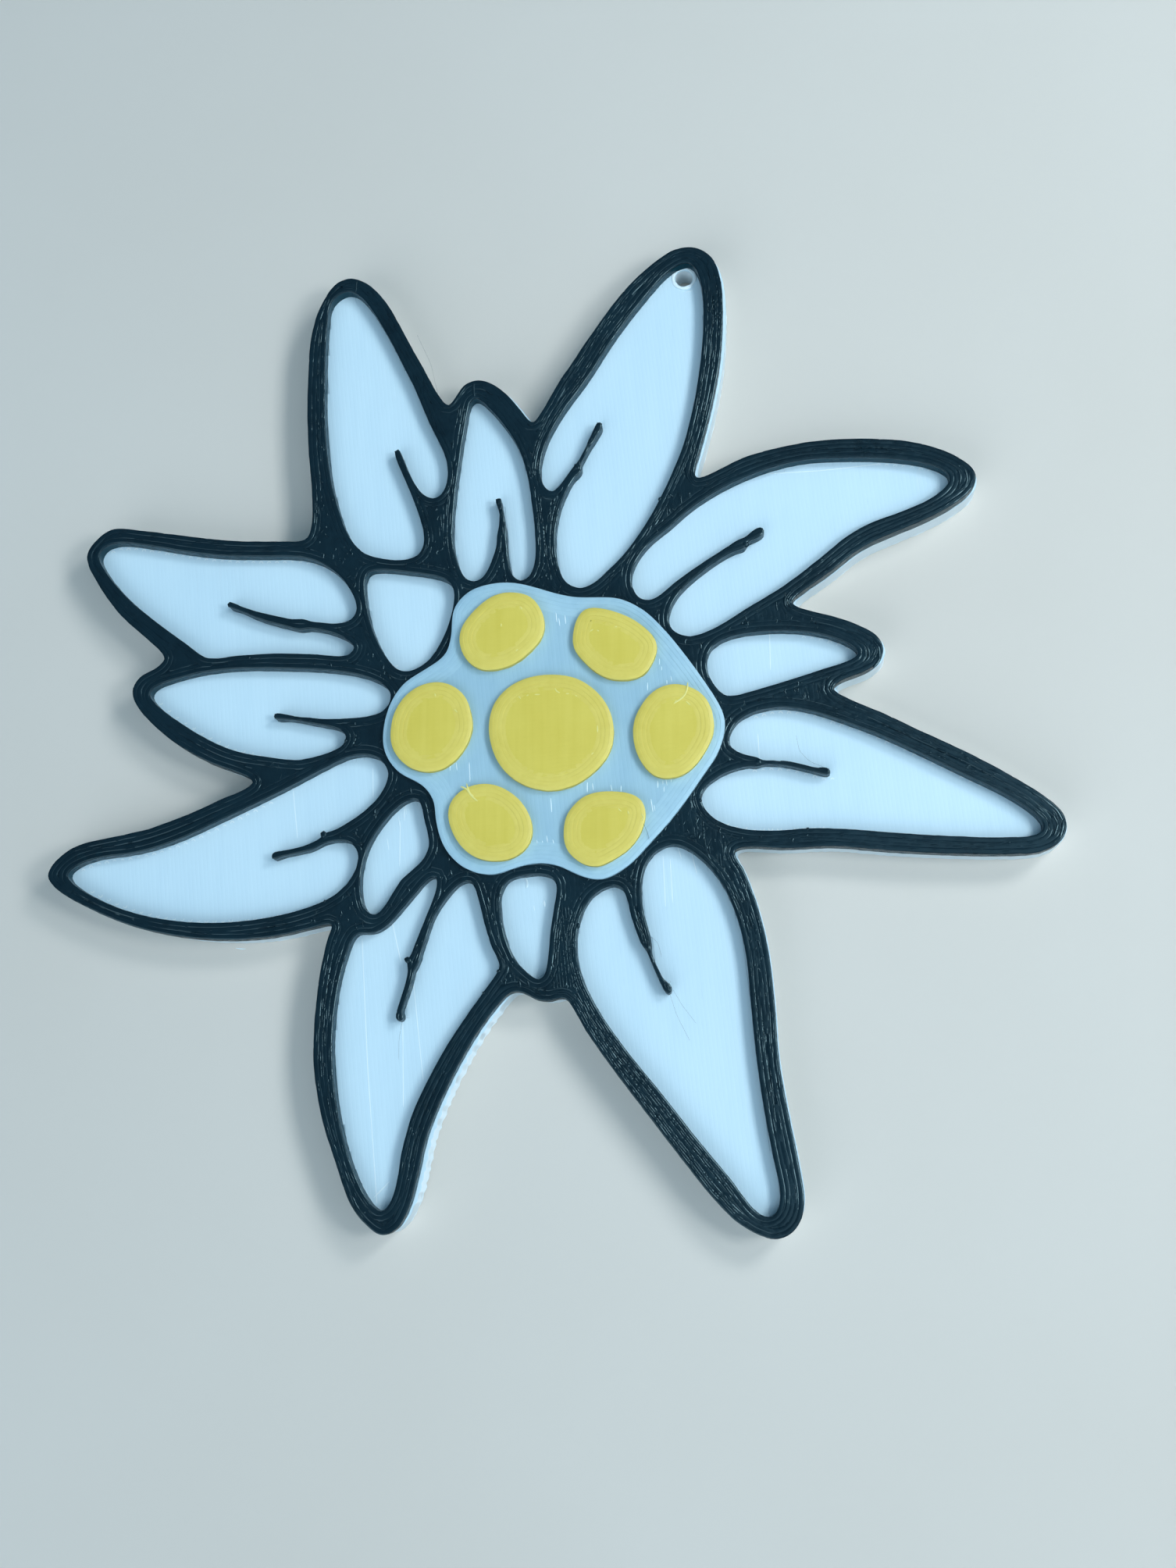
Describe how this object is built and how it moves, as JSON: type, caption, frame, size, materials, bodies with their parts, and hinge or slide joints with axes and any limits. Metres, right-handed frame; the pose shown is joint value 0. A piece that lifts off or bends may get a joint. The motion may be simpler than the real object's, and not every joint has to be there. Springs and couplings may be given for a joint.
{
  "type": "flat printed edelweiss flower ornament",
  "caption": "Flat hanging ornament shaped like an edelweiss: white base plate, raised black drawing with open petals, white centre disc and yellow florets.",
  "frame": {"origin": "centre of the flower's outline on the back face of the base plate", "axes": "+Z out of the drawn face, +Y towards the upper petals, +X to the right as the drawing is seen"},
  "size_m": [0.1005, 0.1004, 0.0056],
  "materials": {
    "white_plastic": "satin printed plastic with fine parallel extrusion lines",
    "black_plastic": "glossy printed plastic with visible beads that follow the outlines",
    "disc_plastic": "satin printed plastic, thin enough to look slightly greyer than the base",
    "yellow_plastic": "satin printed plastic with concentric edge lines"
  },
  "bodies": {
    "root": {"base_plate": "white_plastic", "black_drawing": "black_plastic", "centre_disc": "disc_plastic", "floret_centre": "yellow_plastic", "floret_upper_left": "yellow_plastic", "floret_upper_right": "yellow_plastic", "floret_left": "yellow_plastic", "floret_right": "yellow_plastic", "floret_lower_left": "yellow_plastic", "floret_lower_right": "yellow_plastic"}
  },
  "joints": []
}
